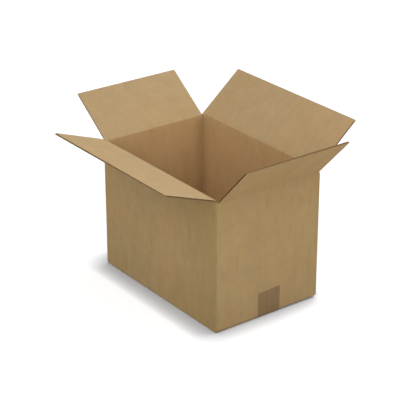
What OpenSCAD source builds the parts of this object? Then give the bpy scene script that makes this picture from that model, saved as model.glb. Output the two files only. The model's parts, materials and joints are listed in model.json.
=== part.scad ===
// Regular slotted carton in single-wall corrugated board, bottom taped shut, four top flaps spread open.
// The origin is on the floor under the middle of the carton: X runs along its length, Y along its width.

/* [Carton] */
// Outside length, along X
outer_length = 350; // [300:1:460]
// Outside width, along Y
outer_width = 232; // [180:1:290]
// Height of the long walls, from the floor to the creases of their flaps
wall_height = 256; // [160:1:360]

/* [Board] */
// Thickness of the board
board_thickness = 3; // [2.6:0.1:4]
// Thickness of each flat liner
liner_thickness = 0.35; // [0.25:0.05:0.5]
// Thickness of the wavy medium between the liners
medium_thickness = 0.3; // [0.2:0.05:0.4]
// Distance from one flute to the next
flute_pitch = 6.5; // [5:0.1:9]
// Half of the width over which a crest of the medium is glued to its liner
glue_line = 0.5; // [0.3:0.05:0.8]
// Outside radius of a folded edge
fold_radius = 2.4; // [1.5:0.1:2.5]
// Height of the band beside each top crease where the flutes are crushed
crush_band = 5; // [4.5:0.1:8]
// How far the inner liner is pressed in at a top crease
crush_dip = 0.8; // [0.3:0.1:1.2]

/* [Flaps] */
// How far each end of a long flap stops short of the carton's corner
long_flap_inset = 3; // [2.6:0.1:5]
// Clearance between the ends of a short flap and the long walls
short_flap_clearance = 0.5; // [0.3:0.1:1.5]
// Gap between the long flaps where they face each other when closed
seam_gap = 6; // [0.6:0.1:12]
// Air between two layers of board that lie on each other
layer_gap = 0.2; // [0.1:0.05:0.6]
// Clearance between a top flap and its wall along the crease
crease_clearance = 0.1; // [0.05:0.05:0.3]
// How far the slots between flaps cut past the short walls' creases
slot_relief = 1.5; // [0.5:0.1:4]

/* [Rest pose] */
// Tilt of the front flap outwards from upright
front_tilt = 70; // [0:1:110]
// Tilt of the back flap outwards from upright
back_tilt = 50; // [0:1:110]
// Tilt of the left flap outwards from upright
left_tilt = 54; // [0:1:110]
// Tilt of the right flap outwards from upright
right_tilt = 43; // [0:1:110]

/* [Glued joint] */
// Width of the lap that is glued inside the right wall
lap_width = 35; // [20:1:60]
// How far the lap's free edge is shorter than its fold, at top and bottom
lap_taper = 9; // [2:1:20]
// Distance from the lap's fold to the creased ends of its corner
lap_setback = 4; // [1:0.5:12]
// How far the right wall's cut edge stops short of the back wall's face
cut_edge_setback = 0.5; // [0.2:0.1:0.7]

/* [Tape] */
// Width of the tape
tape_width = 50; // [38:1:75]
// Thickness of the tape
tape_thickness = 0.1; // [0.05:0.05:0.2]
// Height of the tape's ends on the short walls, from the floor
tape_tab = 52; // [25:1:90]
// Distance of the tape's middle from the carton's middle
tape_offset = 3; // [-5:0.5:5]

/* [Hidden] */
$fn = 32;

kraft = [0.66, 0.53, 0.36];
tape_brown = [0.46, 0.36, 0.24];

half_length = outer_length / 2;
half_width = outer_width / 2;
inner_length = outer_length - 2 * board_thickness;
inner_width = outer_width - 2 * board_thickness;

// The back wall ends one thickness short of the corner, where the right wall is glued over its lap.
front_length = outer_length;
back_length = outer_length - board_thickness;
back_shift = board_thickness / 2;

// Every flap is about half as deep as the carton is wide, so the long ones nearly meet in the middle.
flap_depth = half_width - seam_gap / 2;
front_flap_length = front_length - 2 * long_flap_inset;
back_flap_length = back_length - 2 * long_flap_inset;
short_flap_length = outer_width - 2 * (board_thickness + short_flap_clearance);

// Each long side: the way it faces, the length of its flaps, and how far they sit to its own right
long_sides = [[0, front_flap_length, 0], [180, back_flap_length, back_shift]];
short_sides = [90, 270];

// The long flaps fold over the short ones, so their creases lie one layer further out, above and below.
layer = board_thickness + layer_gap;
long_floor = tape_thickness;
short_floor = long_floor + layer;
long_crease = wall_height;
short_crease = wall_height - layer;
wall_low = short_floor + crush_band;
wall_high = short_crease - crush_band;

// Height of the medium's wave, from the middle of its trough to the middle of its crest
wave_height = board_thickness - 2 * liner_thickness - medium_thickness;

// Bends along each wave, in the top flaps and in the bottom ones
top_bends = 4;
bottom_bends = 2;

// How far the medium's upper face lies above the board's outer face, x away from a trough of the wave
function medium_top(x, pitch) =
    (board_thickness + medium_thickness - wave_height * cos(360 * x / pitch)) / 2;

// Outline of the channel above the medium, with its trough at x = 0 and bends points along the wave
function channel_outline(pitch, bends) =
    let (half = pitch / 2 - glue_line, top = board_thickness - liner_thickness)
    concat(
        [[-half, top], [half, top]],
        [for (i = [1:bends]) let (x = half * (1 - 2 * i / (bends + 1))) [x, medium_top(x, pitch)]]
    );

// Section across the flutes of a panel that is width wide, with its outer face on y = 0
module board_section(width, bends) {
    flutes = round(width / flute_pitch);
    pitch = width / flutes;
    difference() {
        translate([-width / 2, 0]) square([width, board_thickness]);
        for (i = [0:flutes])
            translate([i * pitch - width / 2, 0]) polygon(channel_outline(pitch, bends));
        for (i = [0:flutes - 1])
            translate([(i + 0.5) * pitch - width / 2, board_thickness])
                mirror([0, 1]) polygon(channel_outline(pitch, bends));
    }
}

// Crushed and mitred edge beside a crease, as y and z away from the fold line at the outer face
module creased_edge(width, clearance) {
    mitre = board_thickness - crush_dip;
    rotate([90, 0, 90])
        translate([0, 0, -width / 2])
            linear_extrude(width)
                polygon([
                    [0, clearance],
                    [mitre, mitre + clearance],
                    [board_thickness, crush_band],
                    [0, crush_band]
                ]);
}

// A top flap standing upright on its crease, outer face on y = 0, inner face towards +Y
module upright_flap(width) {
    creased_edge(width, crease_clearance);
    translate([0, 0, crush_band])
        linear_extrude(flap_depth - crush_band) board_section(width, top_bends);
}

// Puts a flap or edge, drawn at the origin, on a side: angle 0 is the front, 90 the right, 180 the back
module on_side(angle, distance, height, tilt = 0, shift = 0) {
    rotate([0, 0, angle]) translate([shift, -distance, height]) rotate([tilt, 0, 0]) children();
}

// Outer outline of the walls: rounded folds, and one corner with the lap's fold behind a cut edge
module wall_outline() {
    back_end = half_length - board_thickness;
    corners = [
        [-half_length, -half_width],
        [half_length, -half_width],
        [-half_length, half_width],
        [back_end, half_width]
    ];
    for (corner = corners)
        translate(corner - fold_radius * [sign(corner[0]), sign(corner[1])]) circle(fold_radius);
    translate([-half_length, fold_radius - half_width])
        square([outer_length, outer_width - 2 * fold_radius]);
    translate([fold_radius - half_length, -half_width])
        square([front_length - 2 * fold_radius, half_width]);
    translate([fold_radius - half_length, 0])
        square([back_length - 2 * fold_radius, half_width]);
    translate([back_end, 0])
        square([board_thickness, half_width - cut_edge_setback]);
}

// Plan of the four walls
module wall_plan() {
    difference() {
        wall_outline();
        square([inner_length, inner_width], center = true);
    }
}

// Plan of what stands between the slots at the corners, where no flap is creased
module corner_plan() {
    difference() {
        wall_plan();
        for (side = long_sides)
            rotate(side[0]) translate([side[2], -half_width])
                square([side[1], 3 * board_thickness], center = true);
        square([2 * outer_length, short_flap_length], center = true);
    }
}

module walls() {
    translate([0, 0, wall_low])
        linear_extrude(wall_high - wall_low) wall_plan();
    translate([0, 0, short_floor + slot_relief])
        linear_extrude(short_crease - short_floor - 2 * slot_relief) corner_plan();
}

// Upper edges of the walls, each ending in the lower half of its flap's crease
module upper_edges() {
    for (side = long_sides)
        on_side(side[0], half_width, long_crease, shift = side[2]) {
            mirror([0, 0, 1]) creased_edge(side[1], 0);
            translate([-side[1] / 2, 0, wall_high - long_crease])
                cube([side[1], board_thickness, layer]);
        }
    for (side = short_sides)
        on_side(side, half_length, short_crease)
            mirror([0, 0, 1]) creased_edge(short_flap_length, 0);
}

// Foot of a wall with the fold into its bottom flap, which is drawn depth deep from the wall's outer face
module folded_foot(width, depth, height) {
    rotate([90, 0, 90])
        translate([0, 0, -width / 2])
            linear_extrude(width) {
                translate([0, fold_radius]) square([board_thickness, height - fold_radius]);
                translate([fold_radius, 0]) square([depth - fold_radius, board_thickness]);
                translate([fold_radius, fold_radius]) circle(fold_radius);
            }
}

// The long bottom flaps close last, with the seam between them
module long_bottom_flaps() {
    for (side = long_sides)
        on_side(side[0], half_width, long_floor, shift = side[2])
            folded_foot(side[1], flap_depth, wall_low - long_floor);
}

// The short bottom flaps lie inside, and show their open flutes at their free edges
module short_bottom_flaps() {
    for (side = short_sides)
        on_side(side, half_length, short_floor) {
            folded_foot(short_flap_length, crush_band, crush_band);
            translate([0, crush_band, board_thickness])
                rotate([-90, 0, 0])
                    linear_extrude(flap_depth - crush_band) board_section(short_flap_length, bottom_bends);
        }
}

// Lap on the back wall, folded round and glued inside the right wall
module glue_lap() {
    low = wall_low + lap_setback;
    high = wall_high - lap_setback;
    fold = half_width - fold_radius;
    edge = half_width - board_thickness - lap_width;
    translate([half_length - 2 * board_thickness, 0, 0])
        rotate([90, 0, 90])
            linear_extrude(board_thickness)
                polygon([
                    [fold, low],
                    [fold, high],
                    [half_width - board_thickness, high],
                    [edge, high - lap_taper],
                    [edge, low + lap_taper],
                    [half_width - board_thickness, low]
                ]);
}

// Four walls, glued lap and four bottom flaps, folded from one sheet
module carton_body() {
    color(kraft) {
        walls();
        upper_edges();
        long_bottom_flaps();
        short_bottom_flaps();
        glue_lap();
    }
}

module front_flap() {
    color(kraft)
        on_side(0, half_width, long_crease, front_tilt) upright_flap(front_flap_length);
}

module back_flap() {
    color(kraft)
        on_side(180, half_width, long_crease, back_tilt, back_shift) upright_flap(back_flap_length);
}

module left_flap() {
    color(kraft)
        on_side(270, half_length, short_crease, left_tilt) upright_flap(short_flap_length);
}

module right_flap() {
    color(kraft)
        on_side(90, half_length, short_crease, right_tilt) upright_flap(short_flap_length);
}

// Angle at which tight tape climbs from the end of a long bottom flap to the fold of a short wall
fold_middle = [half_length - fold_radius, short_floor + fold_radius];
fold_reach = fold_middle - [front_flap_length / 2, long_floor];
tape_climb = atan2(fold_reach[1], fold_reach[0]) - asin(fold_radius / norm(fold_reach));

// Side view of what the tape is drawn round, grown by the tape's own thickness or by nothing
module tape_outline(growth) {
    radius = fold_radius + growth;
    flap_end = front_flap_length / 2 + growth * tan(tape_climb / 2);
    for (side = [0, 1])
        mirror([side, 0]) {
            polygon([
                [0, long_floor - growth],
                [flap_end, long_floor - growth],
                fold_middle + radius * [sin(tape_climb), -cos(tape_climb)],
                fold_middle,
                fold_middle + [radius, 0],
                [half_length + growth, tape_tab],
                [0, tape_tab]
            ]);
            translate(fold_middle) circle(radius);
        }
}

// One strip along the bottom seam, turned up on both short walls
module bottom_tape() {
    color(tape_brown)
        translate([0, tape_offset + tape_width / 2, 0])
            rotate([90, 0, 0])
                linear_extrude(tape_width)
                    difference() {
                        tape_outline(tape_thickness);
                        tape_outline(0);
                    }
}

carton_body();
front_flap();
back_flap();
left_flap();
right_flap();
bottom_tape();
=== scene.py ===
import json
import math
import bmesh
import bpy
from mathutils import Matrix, Vector


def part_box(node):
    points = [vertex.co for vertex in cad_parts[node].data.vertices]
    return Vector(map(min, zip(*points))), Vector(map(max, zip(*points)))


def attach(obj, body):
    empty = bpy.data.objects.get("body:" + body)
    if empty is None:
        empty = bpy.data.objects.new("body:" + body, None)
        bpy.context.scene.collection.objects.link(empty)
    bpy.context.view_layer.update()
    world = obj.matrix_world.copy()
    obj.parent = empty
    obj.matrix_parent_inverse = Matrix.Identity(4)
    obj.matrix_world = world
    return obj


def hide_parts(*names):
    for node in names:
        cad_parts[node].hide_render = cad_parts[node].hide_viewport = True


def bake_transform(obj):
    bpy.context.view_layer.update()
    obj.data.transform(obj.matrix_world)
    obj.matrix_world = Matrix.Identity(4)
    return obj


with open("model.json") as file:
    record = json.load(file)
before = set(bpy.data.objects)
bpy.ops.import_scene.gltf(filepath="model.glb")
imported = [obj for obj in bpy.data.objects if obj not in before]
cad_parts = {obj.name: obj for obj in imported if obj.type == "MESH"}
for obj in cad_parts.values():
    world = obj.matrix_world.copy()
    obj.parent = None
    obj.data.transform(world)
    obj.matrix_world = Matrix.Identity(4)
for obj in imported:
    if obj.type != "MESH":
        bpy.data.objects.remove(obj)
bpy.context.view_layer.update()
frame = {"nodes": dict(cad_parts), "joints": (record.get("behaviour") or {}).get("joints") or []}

mm = 0.001
up = Vector((0, 0, 1))

# The carton's own sizes, in millimetres, read from the frame
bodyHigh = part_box("carton_body")[1]
halfLength = bodyHigh.x / mm
halfWidth = bodyHigh.y / mm
creaseOf = {joint["child"]: joint for joint in frame["joints"]}

board = {
    "thickness": 3.0,  # mm
    "flutePitch": 6.5,
    "crushBand": 5.0,  # board pressed flat on each side of a top crease
    "crushDip": 0.8,  # and how far its inner face is pressed in
    "seam": 6.0,  # left between the long flaps when they are closed
}
flapDepth = halfWidth - board["seam"] / 2

restTilt = {  # degrees outwards from upright
    "front_flap": 70,
    "back_flap": 50,
    "left_flap": 54,
    "right_flap": 43,
}

bpy.ops.object.select_all(action="DESELECT")  # the frame's nodes come in selected


# Camera

shot = {
    "azimuth": 53.11,  # degrees from the front wall towards the right wall
    "elevation": 24.79,
    "distance": 2.7215,
    "lens": 129.45,
    "target": (0.0056, -0.014, 0.1611),
}


def placeCamera():
    az, el = math.radians(shot["azimuth"]), math.radians(shot["elevation"])
    back = Vector((math.sin(az) * math.cos(el), -math.cos(az) * math.cos(el), math.sin(el)))
    bpy.ops.object.camera_add(location=Vector(shot["target"]) + back * shot["distance"])
    camera = bpy.context.object
    camera.name = "camera"
    camera.rotation_euler = back.to_track_quat("Z", "Y").to_euler()
    camera.data.lens = shot["lens"]
    camera.data.clip_end = 50
    bpy.context.scene.camera = camera


placeCamera()
print("camera placed")


# Shader helpers

def link(tree, socket, value):  # value is a number, a colour or another node's output
    if isinstance(value, bpy.types.NodeSocket):
        tree.links.new(value, socket)
    else:
        socket.default_value = value


def addNode(tree, kind, sockets=None, **settings):
    node = tree.nodes.new("ShaderNode" + kind)
    for name, value in settings.items():
        setattr(node, name, value)
    for socket, value in (sockets or {}).items():
        link(tree, node.inputs[socket], value)
    return node


def calc(tree, operation, *values):
    return addNode(tree, "Math", dict(enumerate(values)), operation=operation).outputs[0]


def product(tree, value, *others):
    for other in others:
        value = calc(tree, "MULTIPLY", value, other)
    return value


def largest(tree, value, *others):
    for other in others:
        value = calc(tree, "MAXIMUM", value, other)
    return value


def ramp(tree, value, low, high, start=0.0, stop=1.0):  # smooth step from start to stop
    sockets = {"Value": value, "From Min": low, "From Max": high, "To Min": start, "To Max": stop}
    return addNode(tree, "MapRange", sockets, interpolation_type="SMOOTHSTEP").outputs["Result"]


def fall(tree, value, low, high):
    return ramp(tree, value, low, high, 1, 0)


def within(tree, value, low, high, soft):  # 1 between low and high, each end soft
    return product(tree, ramp(tree, value, low, low + soft), fall(tree, value, high, high + soft))


def lessBy(tree, mask, amount):  # a factor of 1 that drops by the amount where the mask is 1
    return calc(tree, "MULTIPLY_ADD", mask, -amount, 1)


def swing(tree, pattern, depth):  # a factor that swings about 1 with a pattern
    return calc(tree, "MULTIPLY_ADD", pattern, 2 * depth, 1 - depth)


def vectorMath(tree, operation, first, second):
    return addNode(tree, "VectorMath", {0: first, 1: second}, operation=operation)


def stretch(tree, vector, factors):
    return vectorMath(tree, "MULTIPLY", vector, factors).outputs[0]


def split(tree, vector):
    return addNode(tree, "SeparateXYZ", {0: vector}).outputs[:3]


def noise(tree, spot, size, detail=2.0, roughness=0.5):  # about 0.5, blobs of a size in mm
    place = stretch(tree, spot, [1 / length for length in size])
    sockets = {"Vector": place, "Scale": 1.0, "Detail": detail, "Roughness": roughness}
    return addNode(tree, "TexNoise", sockets).outputs[0]


def mixColour(tree, factor, first, second, blend="MIX"):
    node = addNode(tree, "Mix", data_type="RGBA", blend_type=blend)
    for socket, value in ((0, factor), (6, first), (7, second)):  # the colour sockets
        link(tree, node.inputs[socket], value)
    return node.outputs[2]


def scaleColour(tree, colour, factor):
    sockets = {0: colour, "Scale": factor}
    return addNode(tree, "VectorMath", sockets, operation="SCALE").outputs[0]


def tint(colour):
    return tuple(colour) + (1.0,)


def newSkin(name):
    skin = bpy.data.materials.new(name)
    skin.use_nodes = True
    return skin, skin.node_tree, skin.node_tree.nodes["Principled BSDF"]


def bumpSkin(tree, shader, height):  # height is in metres
    bump = addNode(tree, "Bump", {"Height": height, "Strength": 1.0, "Distance": 1.0})
    link(tree, shader.inputs["Normal"], bump.outputs["Normal"])


# 1 for the camera and for what gloss and glass show, 0 for the light that falls on surfaces
def seenDirectly(tree):
    rays = addNode(tree, "LightPath").outputs
    return largest(tree, rays["Is Camera Ray"], rays["Is Glossy Ray"], rays["Is Transmission Ray"])


# Light and floor

studio = {
    "sky": 0.36,  # strength of the light from all around
    "lamps": {  # place and watts of each soft lamp
        "lampBesideCamera": ((2.2, -1.6, 1.5), 40),
        "lampInFront": ((0.3, -1.5, 2.6), 21),
        "lampBehind": ((0.0, 1.5, 2.6), 39),
    },
    "lampSize": 2.4,
    "floorRadius": 2.1,  # no further than the lamps keep it white
    "floorTone": (0.572, 0.6, 0.648),
    "liftTone": (1.03, 1.0, 0.97),
    "floorLift": 0.6,  # added where the floor is seen directly, so that it reads as white
    "contactReach": 0.044,  # the lift fades this close to what stands on the floor
    "contactDepth": 2.6,  # how steeply
    "skyward": (0.1, 0.45, 0.89),  # where most of the soft light on the floor comes from
}


def lightStudio():
    world = bpy.data.worlds.new("studio")
    world.use_nodes = True
    bpy.context.scene.world = world
    tree = world.node_tree
    level = addNode(tree, "MapRange", {"Value": seenDirectly(tree), "To Min": studio["sky"]})
    background = tree.nodes["Background"]
    link(tree, background.inputs["Color"], tint((1, 1, 1)))
    link(tree, background.inputs["Strength"], level.outputs["Result"])
    for name, (place, watts) in studio["lamps"].items():
        bpy.ops.object.light_add(type="AREA", location=place)
        lamp = bpy.context.object
        lamp.name = name
        lamp.data.shape = "DISK"
        lamp.data.size = studio["lampSize"]
        lamp.data.energy = watts
        lamp.rotation_euler = Vector(place).to_track_quat("Z", "Y").to_euler()


def layFloor():
    bpy.ops.mesh.primitive_circle_add(vertices=96, radius=studio["floorRadius"], fill_type="NGON")
    floor = bpy.context.object
    floor.name = "floor"
    skin, tree, shader = newSkin("paleFloor")
    tree.nodes.remove(shader)
    matte = addNode(tree, "BsdfDiffuse", {"Color": tint(studio["floorTone"])})
    skyward = addNode(tree, "CombineXYZ", dict(enumerate(studio["skyward"]))).outputs[0]
    sockets = {"Distance": studio["contactReach"], "Normal": skyward}
    openness = addNode(tree, "AmbientOcclusion", sockets).outputs["AO"]
    openness = calc(tree, "POWER", openness, studio["contactDepth"])
    lift = product(tree, openness, studio["floorLift"], seenDirectly(tree))
    glow = addNode(tree, "Emission", {"Color": tint(studio["liftTone"]), "Strength": lift})
    both = addNode(tree, "AddShader", {0: matte.outputs[0], 1: glow.outputs[0]})
    link(tree, tree.nodes["Material Output"].inputs["Surface"], both.outputs[0])
    floor.data.materials.append(skin)


lightStudio()
layFloor()
print("light and floor set")


# Kraft board

kraft = {
    "outer": (0.46, 0.314, 0.143),  # outer liner
    "inner": (0.43, 0.304, 0.158),  # inner liner on the spread flaps
    "inside": (0.53, 0.354, 0.175),  # the same inner liner inside the carton, painted lighter and warmer as painted light
    "rawEdge": (0.25, 0.153, 0.062),  # cut edges and the flutes between the liners
    "fluteEnd": (0.40, 0.265, 0.125),  # paler cut, at a top flap's free edge, and underneath as painted light in the shaded recess
    "warm": (1.022, 0.989, 0.948),  # the paper's colour drifts between these
    "cool": (0.998, 1.001, 1.002),
    "driftSize": (50, 50, 90),  # mm along X, Y and Z
    "driftRange": (0.35, 0.65),  # of the noise
    "flapPaintedLight": {  # painted light and shade, a tone for each flap by how it is lit
        "front_flap": (1.1, 1.11, 1.13),
        "back_flap": (0.965, 0.95, 0.93),
        "left_flap": (0.95, 0.945, 0.935),
        "right_flap": (1.05, 1.012, 0.945),
    },
    "patterns": {  # size in mm, detail, roughness, and how far each one changes the tone
        "cloud": ((38, 38, 38), 3, 0.5, 0.07),  # broad uneven tone of the pulp
        "blotch": ((14, 14, 14), 2, 0.5, 0.085),
        "streak": ((12, 12, 48), 1, 0.5, 0.06),  # broad streaks and fine lines along the flutes
        "line": ((3.2, 3.2, 70), 1, 0.5, 0.024),
        "fibre": ((5.0, 5.0, 0.35), 2, 0.6, 0.10),  # fibres lie across the flutes
    },
    "spots": {  # size in mm, where they begin and end in the noise, and how much darker
        "fleck": ((1.3, 1.3, 1.3), 0.66, 0.76, 0.16),
        "mark": ((11, 11, 44), 0.58, 0.72, 0.06),  # a few darker marks among the streaks
    },
    "calmFlaps": 0.55,  # streaks, lines and marks are weaker on the flaps
    "calmInside": 0.3,  # and every pattern is weaker inside the carton
    "washboard": 0.012,  # mm, height of the flutes felt through a liner
    "washboardRange": (0.4, 0.7),  # of the clouds, from patches with none to the full height
    "fibreRelief": 0.03,
    "blotchRelief": 0.10,
    "roughness": 0.77,
    "blotchRoughness": 0.1,
    "specular": 0.22,
    "wearAndPaintedLight": {  # reaches in mm, and by what share each place is darker: painted shade and painted light, and wear at the very foot
        "pressedSheenReach": (7, 11),  # band beside each vertical fold of the end walls, tinted greener as a painted sheen of the pressed board
        "pressedSheenTint": (0.95, 0.985, 0.97),
        "foldShadeReach": (0.5, 3),  # the rounded fold itself, darker as painted shade
        "fold": 0.12,
        "cornerShadeReach": (2, 30),  # painted shade in the corners inside
        "corner": 0.17,
        "soleReach": (0.5, 5),  # very foot of the walls
        "sole": 0.04,
        # painted shade, darker towards the foot of the walls
        "footShadeReach": (10, 150),
        "foot": 0.10,
        "topShadeReach": (190, 253),  # height on the end walls, darker towards the top as painted shade
        "top": 0.04,
        "frontPaintedShadeReach": (20, 175),  # painted shade along the front wall, darker and yellower towards its right-hand fold
        "frontPaintedShade": 0.15,
        "frontPaintedShadeTint": (1.0, 1.0, 0.92),
        "frontPaintedLightReach": (-150, 20),  # and its other top corner is lighter, as painted light
        "frontPaintedLightHeight": (130, 250),
        "frontPaintedLight": 0.17,
    },
    "cuts": {  # mm, where a soft step starts and stops, or a band's start, end and softness
        "innerFace": (0.6, 1.2),  # below the board's outside
        "betweenLiners": (0.15, board["thickness"] - 0.25, 0.1),
        "shortFlaps": (3.35, 6.0, 0.15),  # heights of the short bottom flaps' open flutes
        "seamTop": (3.0, 3.08),  # the long bottom flaps' cut edges lie below
        "bottomInset": (2.6, 2.9),  # and both lie this far inside the walls
        "slotSides": (2.3, 3.6, 0.3),  # from the folds
        "slotFoot": (247.6, 247.8),
        "lapEdges": (3.1, 5.75, 0.2),  # from the outside of the right wall
        "lapStart": (60, 70),  # along that wall
        "lapEnd": (112, 112.5),
        "lapFoot": (8, 9),
        "freeEdge": (-5, -3),  # from a top flap's free edge, which is paler
        "broadside": (0.35, 0.65),  # from a flap's cut sides to its broad faces
        "level": (0.5, 0.7),  # from upright faces to level ones
    },
}


# Place and turn of a Mapping node that stands a flap upright on its crease
def turnedUpright(flap):
    pivot = Vector(creaseOf[flap]["pos_m"])
    axis = Vector(creaseOf[flap]["axis"])
    turn = Matrix.Rotation(math.radians(-restTilt[flap]), 3, axis)
    return pivot - turn @ pivot, turn.to_euler()


def inwardOf(flap):
    return up.cross(Vector(creaseOf[flap]["axis"]))


def foldHeight(flap):
    return creaseOf[flap]["pos_m"][2] / mm


# Where a spot lies on the upright sheet, in mm, and which way it faces
def spotOnSheet(tree, kind, flap):
    place = addNode(tree, "TexCoord").outputs
    spot, facing = place["Object"], place["Normal"]
    if kind == "flap":
        shift, turn = turnedUpright(flap)
        sockets = {"Vector": spot, "Location": shift, "Rotation": turn}
        spot = addNode(tree, "Mapping", sockets).outputs[0]
        sockets = {"Vector": facing, "Rotation": turn}
        facing = addNode(tree, "Mapping", sockets, vector_type="VECTOR").outputs[0]
    elif kind == "crease":
        spot = addNode(tree, "Attribute", attribute_name="restSpot").outputs["Vector"]
    at = {"spot": stretch(tree, spot, (1 / mm,) * 3), "facing": facing}
    at["x"], at["y"], at["z"] = split(tree, at["spot"])
    for name, part in zip(("facingX", "facingY", "facingZ"), split(tree, facing)):
        at[name] = calc(tree, "ABSOLUTE", part)
    fromEnds = calc(tree, "SUBTRACT", halfLength, calc(tree, "ABSOLUTE", at["x"]))
    fromSides = calc(tree, "SUBTRACT", halfWidth, calc(tree, "ABSOLUTE", at["y"]))
    at["fromEnds"] = fromEnds
    at["fromWalls"] = calc(tree, "MINIMUM", fromEnds, fromSides)
    at["fromFold"] = largest(tree, fromEnds, fromSides)
    at["depth"] = calc(tree, "MINIMUM", at["fromWalls"], at["z"])
    return at


# Masks of the inner face, of the cut board and of the paler cuts, painted light underneath
def boardFaces(tree, at, kind, flap):
    cuts = kraft["cuts"]
    if kind == "crease":
        inner = addNode(tree, "Attribute", attribute_name="innerSide").outputs["Fac"]
        return inner, addNode(tree, "Attribute", attribute_name="cutEnd").outputs["Fac"], 0.0
    inner = ramp(tree, at["depth"], *cuts["innerFace"])
    between = within(tree, at["depth"], *cuts["betweenLiners"])
    if kind == "flap":
        facing = vectorMath(tree, "DOT_PRODUCT", at["facing"], inwardOf(flap)).outputs["Value"]
        sides = fall(tree, calc(tree, "ABSOLUTE", facing), *cuts["broadside"])
        free = [foldHeight(flap) + flapDepth + step for step in cuts["freeEdge"]]
        return inner, largest(tree, between, sides), ramp(tree, at["z"], *free)
    seam = product(tree, fall(tree, at["z"], *cuts["seamTop"]),
                   fall(tree, at["facingZ"], *cuts["level"]))
    bottom = largest(tree, within(tree, at["z"], *cuts["shortFlaps"]), seam)
    bottom = product(tree, bottom, ramp(tree, at["fromWalls"], *cuts["bottomInset"]))
    slots = product(tree, within(tree, at["fromFold"], *cuts["slotSides"]), between)
    slots = largest(tree, slots, ramp(tree, at["facingZ"], *cuts["level"]))
    slots = product(tree, slots, ramp(tree, at["z"], *cuts["slotFoot"]))
    lap = product(tree, within(tree, at["fromEnds"], *cuts["lapEdges"]),
                  ramp(tree, at["x"], 0, 1),
                  ramp(tree, at["y"], *cuts["lapStart"]),
                  fall(tree, at["y"], *cuts["lapEnd"]),
                  ramp(tree, at["z"], *cuts["lapFoot"]))
    # underneath, the cut edges in the shaded recess are painted paler as painted light
    return inner, largest(tree, bottom, slots, lap), bottom


def boardColour(tree, at, kind, flap, inner):
    # inside the carton the inner liner takes its lighter, warmer copy as painted light
    liner = tint(kraft["inside"] if kind == "walls" else kraft["inner"])
    if kind == "crease":
        fromInside = ramp(tree, at["z"], foldHeight(flap), foldHeight(flap) + 2)
        liner = mixColour(tree, fromInside, tint(kraft["inside"]), liner)
    colour = mixColour(tree, inner, tint(kraft["outer"]), liner)
    warmth = ramp(tree, noise(tree, at["spot"], kraft["driftSize"], 1), *kraft["driftRange"])
    drift = mixColour(tree, warmth, tint(kraft["cool"]), tint(kraft["warm"]))
    return mixColour(tree, 1.0, colour, drift, "MULTIPLY")


def boardTone(tree, at, kind, inner, patterns):
    weaker = kraft["calmFlaps"] if kind == "flap" else 1.0
    shares = {"streak": weaker, "line": weaker, "mark": weaker}
    tone = None
    for name, pattern in patterns.items():
        factor = swing(tree, pattern, kraft["patterns"][name][3] * shares.get(name, 1.0))
        tone = product(tree, tone, factor) if tone else factor
    for name, (size, low, high, depth) in kraft["spots"].items():
        mask = ramp(tree, noise(tree, at["spot"], size, 1), low, high)
        tone = product(tree, tone, lessBy(tree, mask, depth * shares.get(name, 1.0)))
    if kind == "walls":
        tone = calc(tree, "POWER", tone, lessBy(tree, inner, kraft["calmInside"]))
    return tone


# Mask, darkening and tint of each place with wear, painted shade and painted light
def wornAndPaintedPlaces(tree, at, kind, flap, inner, onWall):
    wearAndPaintedLight = kraft["wearAndPaintedLight"]
    outer = calc(tree, "SUBTRACT", 1, inner)
    onFront, places = None, []
    if kind == "walls":
        onEnds = product(tree, at["facingX"], outer)
        onFront = product(tree, at["facingY"], fall(tree, at["y"], 0, 1))
        # painted sheen: a greener tint beside the vertical folds of the end walls
        pressed = product(tree, fall(tree, at["fromFold"], *wearAndPaintedLight["pressedSheenReach"]), onEnds)
        # painted shade on the outer side of each rounded vertical fold
        fold = product(tree, fall(tree, at["fromFold"], *wearAndPaintedLight["foldShadeReach"]), outer)
        # painted shade in the corners inside the carton
        corner = product(tree, fall(tree, at["fromFold"], *wearAndPaintedLight["cornerShadeReach"]), inner)
        # painted shade, darker towards the top of the end walls
        top = product(tree, ramp(tree, at["z"], *wearAndPaintedLight["topShadeReach"]), onEnds)
        # painted light, lighter towards the front wall's upper left corner
        frontPaintedLight = product(tree, onFront, fall(tree, at["x"], *wearAndPaintedLight["frontPaintedLightReach"]),
                        ramp(tree, at["z"], *wearAndPaintedLight["frontPaintedLightHeight"]))
        places = [
            (pressed, 0.0, wearAndPaintedLight["pressedSheenTint"]),
            (fold, wearAndPaintedLight["fold"], None),
            (corner, wearAndPaintedLight["corner"], None),
            (fall(tree, at["z"], *wearAndPaintedLight["soleReach"]), wearAndPaintedLight["sole"], None),
            # painted shade towards the foot
            (fall(tree, at["z"], *wearAndPaintedLight["footShadeReach"]), wearAndPaintedLight["foot"], None),
            (top, wearAndPaintedLight["top"], None),
            (frontPaintedLight, -wearAndPaintedLight["frontPaintedLight"], None),
        ]
    elif kind == "crease" and flap == "front_flap":
        # the front crease strip's wall half carries the front wall's painted shade
        onFront = onWall
    elif kind == "crease" and flap != "back_flap":
        # the end flaps' crease strips carry the painted shade of the end walls' tops
        places = [(product(tree, outer, onWall), wearAndPaintedLight["top"], None)]
    if onFront:
        # painted shade, darker and yellower along the front wall towards its right-hand fold
        frontPaintedShade = product(tree, onFront, outer, ramp(tree, at["x"], *wearAndPaintedLight["frontPaintedShadeReach"]))
        places.append((frontPaintedShade, wearAndPaintedLight["frontPaintedShade"], wearAndPaintedLight["frontPaintedShadeTint"]))
    return places


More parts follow.
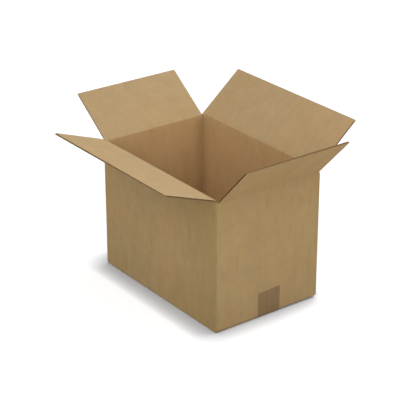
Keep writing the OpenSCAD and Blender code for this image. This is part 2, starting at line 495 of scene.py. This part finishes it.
# Flutes felt through the liners in patches, fibres and blotches, in metres
def boardRelief(tree, at, kind, flap, patterns):
    onLong = 1.0 if flap in ("front_flap", "back_flap") else 0.0
    if kind == "walls":
        onLong = ramp(tree, at["facingY"], 0.4, 0.6)
    acrossFlutes = addNode(tree, "Mix", {0: onLong, 2: at["y"], 3: at["x"]}).outputs[0]
    wave = calc(tree, "SINE", product(tree, acrossFlutes, 2 * math.pi / board["flutePitch"]))
    patchy = ramp(tree, patterns["cloud"], *kraft["washboardRange"], 0, kraft["washboard"] * mm)
    height = product(tree, wave, patchy)
    for name in ("fibre", "blotch"):
        depth = kraft[name + "Relief"] * mm
        height = calc(tree, "MULTIPLY_ADD", patterns[name], depth, height)
    return height


def boardSkin(name, kind, flap=None):  # kind is walls, flap or crease
    skin, tree, shader = newSkin(name)
    at = spotOnSheet(tree, kind, flap)
    inner, cut, paleCut = boardFaces(tree, at, kind, flap)
    patterns = {}
    for pattern, (size, detail, roughness, _) in kraft["patterns"].items():
        patterns[pattern] = noise(tree, at["spot"], size, detail, roughness)
    tone = boardTone(tree, at, kind, inner, patterns)
    colour = boardColour(tree, at, kind, flap, inner)
    onFlap, onWall = 1.0, None
    if kind == "crease":  # passes from the wall's look to the flap's
        onFlap = ramp(tree, at["z"], foldHeight(flap) - 1, foldHeight(flap) + 1)
        onWall = calc(tree, "SUBTRACT", 1, onFlap)
    # each flap takes its own painted light and shade
    if flap:
        colour = mixColour(tree, onFlap, colour, tint(kraft["flapPaintedLight"][flap]), "MULTIPLY")
    for mask, darker, colouring in wornAndPaintedPlaces(tree, at, kind, flap, inner, onWall):
        if darker:
            tone = product(tree, tone, lessBy(tree, mask, darker))
        if colouring:
            colour = mixColour(tree, mask, colour, tint(colouring), "MULTIPLY")
    edge = mixColour(tree, paleCut, tint(kraft["rawEdge"]), tint(kraft["fluteEnd"]))
    colour = scaleColour(tree, mixColour(tree, cut, colour, edge), tone)
    link(tree, shader.inputs["Base Color"], colour)
    rough = calc(tree, "MULTIPLY_ADD", patterns["blotch"], kraft["blotchRoughness"],
                 kraft["roughness"])
    link(tree, shader.inputs["Roughness"], rough)
    shader.inputs["Specular IOR Level"].default_value = kraft["specular"]
    bumpSkin(tree, shader, boardRelief(tree, at, kind, flap, patterns))
    return skin


def dress(name, skin):
    mesh = frame["nodes"][name].data
    mesh.materials.clear()
    mesh.materials.append(skin)


dress("carton_body", boardSkin("kraftWalls", "walls"))
for flap in restTilt:
    dress(flap, boardSkin("kraft_" + flap, "flap", flap))
print("board dressed")


# Modelling helpers

# A flat plate at its place and size, open in edit mode
def newPiece(name, place, size, turn=0.0):
    bpy.ops.object.select_all(action="DESELECT")
    bpy.ops.mesh.primitive_plane_add(size=1, location=place, rotation=(0, 0, turn))
    piece = bpy.context.object
    piece.name = name
    piece.scale = (size[0], size[1], 1)
    bpy.ops.object.transform_apply(location=True, rotation=True, scale=True)
    bpy.ops.object.mode_set(mode="EDIT")
    bpy.ops.mesh.select_mode(type="VERT")
    bpy.ops.mesh.select_all(action="SELECT")
    return piece


def pick(piece, test):
    mesh = bmesh.from_edit_mesh(piece.data)
    for vert in mesh.verts:
        vert.select = bool(test(vert.co))
    mesh.select_flush_mode()
    bmesh.update_edit_mesh(piece.data)


def pickEdges(piece, test):
    bpy.ops.mesh.select_mode(type="EDGE")
    mesh = bmesh.from_edit_mesh(piece.data)
    for edge in mesh.edges:
        edge.select = bool(test(edge.verts[0].co, edge.verts[1].co))
    mesh.select_flush_mode()
    bmesh.update_edit_mesh(piece.data)


def push(step):
    bpy.ops.mesh.extrude_region_move(TRANSFORM_OT_translate={"value": step})


def closePiece(piece, angle=40):  # folds sharper than this many degrees stay sharp
    bpy.ops.mesh.select_all(action="SELECT")
    bpy.ops.mesh.remove_doubles(threshold=0.002 * mm)
    bpy.ops.mesh.normals_make_consistent(inside=False)
    bpy.ops.object.mode_set(mode="OBJECT")
    bpy.ops.object.shade_smooth_by_angle(angle=math.radians(angle))


# Creases: the board's liners run on over each fold, pressed in on the inner side

crease = {
    "proud": 0.05,  # mm, clear of the board that it covers
    "dip": 0.2,  # how far the scoring wheel has left the inner liner pressed in
    "bends": 10,
}


# Notes on the strip itself which face is which, so that its colours hold when it bends
def noteFaces(mesh, axis, towardsInside):
    spots = mesh.attributes.new("restSpot", "FLOAT_VECTOR", "POINT")
    for vert in mesh.vertices:
        spots.data[vert.index].vector = vert.co
    inner = mesh.attributes.new("innerSide", "FLOAT", "FACE")
    cut = mesh.attributes.new("cutEnd", "FLOAT", "FACE")
    for face in mesh.polygons:
        inner.data[face.index].value = float(face.normal.dot(towardsInside) > 0)
        cut.data[face.index].value = float(abs(face.normal.dot(axis)) > 0.6)


def shiftInner(piece, direction, amount):  # moves the inner edge of the end that is selected
    mesh = bmesh.from_edit_mesh(piece.data)
    end = [vert for vert in mesh.verts if vert.select]
    reach = max(vert.co.dot(direction) for vert in end)
    for vert in end:
        if vert.co.dot(direction) > reach - 0.1 * mm:
            vert.co += direction * amount
    bmesh.update_edit_mesh(piece.data)


def modelCrease(flap):
    fold = Vector(creaseOf[flap]["pos_m"])
    axis = Vector(creaseOf[flap]["axis"])
    inward = inwardOf(flap)
    tilt = math.radians(restTilt[flap])
    turn = Matrix.Rotation(tilt, 3, axis)
    low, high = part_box(flap)
    length = abs((high - low).dot(axis)) + 2 * crease["proud"] * mm
    middle = axis * ((low + high) / 2).dot(axis)
    fold = fold - axis * fold.dot(axis) + middle  # halfway along the flap
    thickness = (board["thickness"] + 2 * crease["proud"]) * mm
    band, dip = board["crushBand"] * mm, crease["dip"] * mm
    mitre = (board["thickness"] - board["crushDip"]) * mm  # of the two edges that meet at the fold
    slope = (band - mitre) / 2
    start = fold + inward * (thickness / 2 - crease["proud"] * mm) - up * band
    piece = newPiece("crease_" + flap, start, (length, thickness), math.atan2(axis.y, axis.x))
    # Up the wall, round the fold and out along the flap
    for _ in range(2):
        push(up * slope)
        shiftInner(piece, inward, -dip / 2)
    push(up * mitre)
    bpy.ops.mesh.spin(steps=crease["bends"], angle=-tilt, center=fold, axis=axis)
    outwards, facing = turn @ up, turn @ inward
    push(outwards * mitre)
    for _ in range(2):
        push(outwards * slope)
        shiftInner(piece, facing, dip / 2)
    closePiece(piece)
    noteFaces(piece.data, axis, inward + facing)
    piece.data.materials.append(boardSkin("kraft_" + piece.name, "crease", flap))
    # It bends from where one mitred edge starts to where the other ends
    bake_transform(piece)


for flap in restTilt:
    modelCrease(flap)
print("creases modelled")


# Ends of the slots between the flaps, where the long walls stand a little higher

slotEnd = {
    "length": 2.8,  # mm along the long wall
    "low": 251.2,  # heights
    "high": 255.7,
    "rounding": 2.3,  # of the vertical fold
}


def modelSlotEnds():
    length, thickness = slotEnd["length"] * mm, board["thickness"] * mm
    low, high = slotEnd["low"] * mm, slotEnd["high"] * mm
    corner = Vector((halfLength, -halfWidth)) * mm
    place = (corner.x - length / 2, corner.y + thickness / 2, low)
    first = newPiece("slot_end_front_right", place, (length, thickness))
    pick(first, lambda spot: spot.x > corner.x - 0.1 * mm and spot.y < corner.y + 0.1 * mm)
    bpy.ops.mesh.bevel(offset=slotEnd["rounding"] * mm, segments=5, affect="VERTICES")
    bpy.ops.mesh.select_all(action="SELECT")
    push(up * (high - low))
    closePiece(first)
    first.data.materials.append(bpy.data.materials["kraftWalls"])
    shift = -board["thickness"] * mm  # behind the right wall's cut edge
    for name, mirror, offset in (
        ("slot_end_front_left", (-1, 1, 1), 0),
        ("slot_end_back_left", (-1, -1, 1), 0),
        ("slot_end_back_right", (1, -1, 1), shift),
    ):
        bpy.ops.object.select_all(action="DESELECT")
        first.select_set(True)
        bpy.context.view_layer.objects.active = first
        bpy.ops.object.duplicate()
        twin = bpy.context.object
        twin.name = name
        twin.scale = mirror
        twin.location.x = offset
        bpy.ops.object.transform_apply(location=True, rotation=True, scale=True)
        bpy.ops.object.mode_set(mode="EDIT")
        closePiece(twin)
        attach(twin, "carton")
    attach(first, "carton")


modelSlotEnds()
print("slot ends modelled")


# Packing tape along the bottom seam, turned up on both end walls

tape = {
    "width": 50.0,  # mm
    "thickness": 0.1,
    "offset": 3.0,  # its middle is this far behind the carton's middle
    "tab": 52.0,  # height of its ends
    "foldRadius": 2.4,
    "foldHeight": 5.7,  # middle of the end walls' lower folds
    "foldSteps": 4,
    "seamEnd": 172.0,  # where the long bottom flaps end
    "columns": 64,
    "rows": 36,  # on each tab
    "seamRows": 40,
    "teeth": 0.7,  # depth of the cut teeth at its ends
    "skew": 3.1,  # degrees by which the end that shows was cut askew
    "wrinkle": 0.22,
    "wrinkleSize": 9.0,
    "stuck": 6.0,  # width of the flat rim beside its edges
    "colour": (0.243, 0.145, 0.051),
    "streakColour": (0.212, 0.125, 0.042),
    "streakSize": (60, 1.5, 60),  # mm, streaks lie along the film
    "streakRange": (0.3, 0.7),  # of the noise
    "cloudSize": (14, 14, 14),
    "cloudDepth": 0.08,
    "cloudRoughness": 0.12,
    "roughness": 0.32,
    "specular": 0.35,
    "washboard": 0.015,  # mm, height of the board's flutes felt through the film
    "streakRelief": 0.02,
    "cloudRelief": 0.12,
}


def tapeSkin():
    skin, tree, shader = newSkin("brownTape")
    spot = stretch(tree, addNode(tree, "TexCoord").outputs["Object"], (1 / mm,) * 3)
    streak = noise(tree, spot, tape["streakSize"], 3)
    cloud = noise(tree, spot, tape["cloudSize"], 2)
    share = ramp(tree, streak, *tape["streakRange"])
    colour = mixColour(tree, share, tint(tape["colour"]), tint(tape["streakColour"]))
    colour = scaleColour(tree, colour, swing(tree, cloud, tape["cloudDepth"]))
    link(tree, shader.inputs["Base Color"], colour)
    rough = calc(tree, "MULTIPLY_ADD", cloud, tape["cloudRoughness"], tape["roughness"])
    link(tree, shader.inputs["Roughness"], rough)
    shader.inputs["Specular IOR Level"].default_value = tape["specular"]
    acrossFlutes = split(tree, spot)[1]
    wave = calc(tree, "SINE", product(tree, acrossFlutes, 2 * math.pi / board["flutePitch"]))
    height = product(tree, wave, tape["washboard"] * mm)
    height = calc(tree, "MULTIPLY_ADD", streak, tape["streakRelief"] * mm, height)
    height = calc(tree, "MULTIPLY_ADD", cloud, tape["cloudRelief"] * mm, height)
    bumpSkin(tree, shader, height)
    return skin


def modelTape():
    floorGap = tape["thickness"] * mm
    end, middle = tape["seamEnd"] * mm, tape["offset"] * mm
    radius, width = tape["foldRadius"] * mm, tape["width"] * mm
    foldX, foldZ = halfLength * mm - radius, tape["foldHeight"] * mm
    reach = Vector((foldX - end, foldZ - floorGap))
    # The film leaves the seam's end straight for the fold and climbs round it
    climb = math.atan2(reach.y, reach.x) - math.asin(radius / reach.length)
    touch = Vector((foldX + radius * math.sin(climb), foldZ - radius * math.cos(climb)))
    piece = newPiece("packing_tape", (0, middle, floorGap), (2 * end, width))
    for side in (1, -1):
        pick(piece, lambda spot: spot.x * side > end - 0.1 * mm)
        push(Vector((side * (touch.x - end), 0, touch.y - floorGap)))
        turn, centre = side * (math.pi / 2 - climb), (side * foldX, 0, foldZ)
        bpy.ops.mesh.spin(steps=tape["foldSteps"], angle=turn, center=centre, axis=(0, 1, 0))
        push(up * (tape["tab"] * mm - foldZ))
    # Rows and columns fine enough for the teeth and the wrinkles
    pickEdges(piece, lambda a, b: abs(a.y - b.y) > width / 2)
    bpy.ops.mesh.subdivide(number_cuts=tape["columns"] - 1)
    pickEdges(piece, lambda a, b: abs(a.z - b.z) > tape["tab"] * mm / 2)
    bpy.ops.mesh.subdivide(number_cuts=tape["rows"] - 1)
    pickEdges(piece, lambda a, b: abs(a.x - b.x) > end)
    bpy.ops.mesh.subdivide(number_cuts=tape["seamRows"] - 1)
    bpy.ops.mesh.select_mode(type="VERT")
    pitch = width / tape["columns"]
    edge = middle - width / 2
    tab = tape["tab"] * mm
    # Every second corner of a cut end is pulled down to make its teeth
    pick(piece, lambda spot: spot.z > tab - 0.1 * mm and round((spot.y - edge) / pitch) % 2 == 1)
    bpy.ops.transform.translate(value=(0, 0, -tape["teeth"] * mm))
    for side, askew in ((1, tape["skew"]), (-1, -tape["skew"] / 2)):
        pick(piece, lambda spot: spot.z > tab - 1 * mm and spot.x * side > 0)
        pivot = (side * halfLength * mm, middle, tab)
        bpy.ops.transform.rotate(value=math.radians(-askew), orient_axis="X", center_override=pivot)
    bpy.ops.mesh.select_all(action="SELECT")
    bpy.ops.mesh.flip_normals()
    bpy.ops.object.mode_set(mode="OBJECT")
    return piece


def finishTape(piece):
    width, top = tape["width"], tape["tab"]
    loose = piece.vertex_groups.new(name="loose")
    for vert in piece.data.vertices:
        _, y, z = vert.co / mm
        fromEdge = min(width / 2 - abs(y - tape["offset"]), top - z, z - tape["foldHeight"])
        loose.add([vert.index], max(0.0, min(1.0, fromEdge / tape["stuck"])), "REPLACE")
    wrinkles = bpy.data.textures.new("wrinkles", "CLOUDS")
    wrinkles.noise_scale = tape["wrinkleSize"] * mm
    wrinkles.noise_depth = 1
    bend = piece.modifiers.new("bend", "DISPLACE")
    bend.texture = wrinkles
    bend.texture_coords = "LOCAL"
    bend.vertex_group = loose.name
    bend.mid_level = 0
    bend.strength = tape["wrinkle"] * mm
    film = piece.modifiers.new("film", "SOLIDIFY")
    film.thickness = tape["thickness"] * mm
    film.offset = 1
    bpy.context.view_layer.objects.active = piece
    for name in (bend.name, film.name):
        bpy.ops.object.modifier_apply(modifier=name)
    bpy.ops.object.mode_set(mode="EDIT")
    closePiece(piece, 35)
    piece.data.materials.append(tapeSkin())
    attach(piece, "carton")
    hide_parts("bottom_tape")


finishTape(modelTape())
print("tape modelled")

bpy.context.scene.view_settings.view_transform = "Standard"
